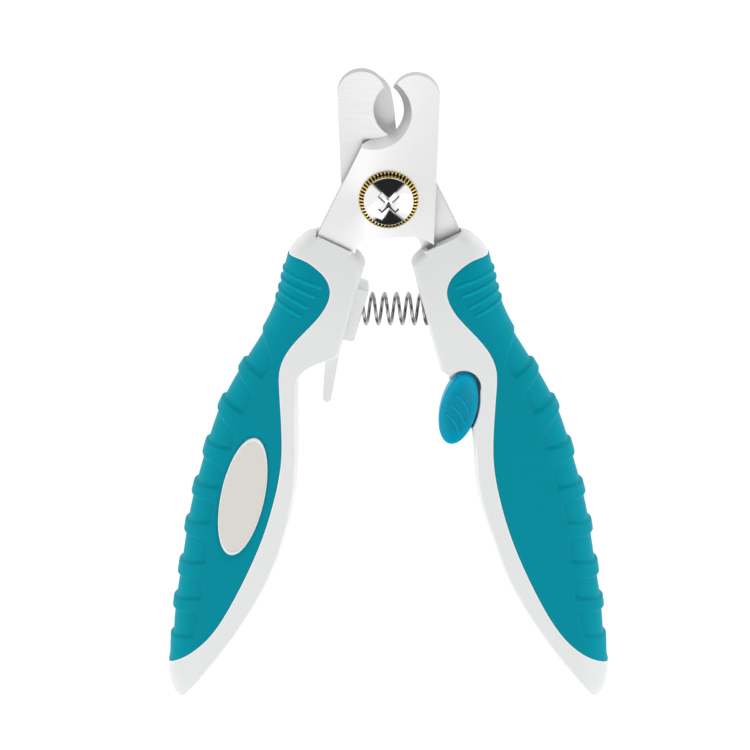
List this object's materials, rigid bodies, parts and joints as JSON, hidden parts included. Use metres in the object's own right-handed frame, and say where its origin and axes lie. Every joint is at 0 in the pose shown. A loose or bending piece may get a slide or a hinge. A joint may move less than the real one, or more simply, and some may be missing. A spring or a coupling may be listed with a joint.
{
  "type": "pet nail trimmer",
  "caption": "Scissor-type claw trimmer with two notched steel blades, sprung soft-grip handles, a handle lock and a swing-aside stop plate.",
  "frame": {"origin": "centre of the footprint on the table, the trimmer lying on its back", "axes": "+Z out of the front face, +Y from the handles towards the blade tips, +X to the right seen from the front"},
  "size_m": [0.1082, 0.1598, 0.0152],
  "materials": {
    "blade_steel": "fine brushed stainless steel",
    "guard_steel": "satin stainless sheet",
    "chrome_screw": "bright chrome plate",
    "brass_ring": "knurled brass plate",
    "spring_steel": "bright drawn spring wire",
    "shell_plastic": "satin light grey plastic",
    "grip_rubber": "matte teal soft grip",
    "pad_plastic": "glossy blue plastic",
    "badge_plate": "blank warm grey plate"
  },
  "bodies": {
    "left_half": {"front_blade": "blade_steel", "pivot_screw": "chrome_screw", "pivot_ring": "brass_ring", "pivot_nut": "chrome_screw", "left_front_shell": "shell_plastic", "left_rear_shell": "shell_plastic", "left_grip": "grip_rubber", "left_badge": "badge_plate", "left_spring_seat": "shell_plastic", "lock_catch": "shell_plastic", "left_tang_rivets": "chrome_screw", "return_spring": "spring_steel"},
    "right_half": {"rear_blade": "blade_steel", "spring_washer": "spring_steel", "right_front_shell": "shell_plastic", "right_rear_shell": "shell_plastic", "right_grip": "grip_rubber", "right_tang_rivets": "chrome_screw", "lock_pin": "chrome_screw", "detent_spring": "spring_steel"},
    "guard": {"safety_guard": "guard_steel"},
    "lock": {"lock_lever": "guard_steel", "lock_thumb_pad": "pad_plastic"}
  },
  "joints": [
    {"name": "main_pivot", "type": "hinge", "parent": "left_half", "child": "right_half", "pos_m": [0, 0.0483, 0.0075], "axis": [0, 0, -1], "range_deg": [0, 27], "stiffness_Nm_per_rad": 0.12, "springref_deg": -51.57, "deforming": ["return_spring"]},
    {"name": "guard_swing", "type": "hinge", "parent": "right_half", "child": "guard", "pos_m": [0, 0.0483, 0.0027], "axis": [0, 0, 1], "range_deg": [0, 75]},
    {"name": "lock_swing", "type": "hinge", "parent": "right_half", "child": "lock", "pos_m": [0.0183, 0.0016, 0.0075], "axis": [0, 0, -1], "range_deg": [0, 40]}
  ]
}
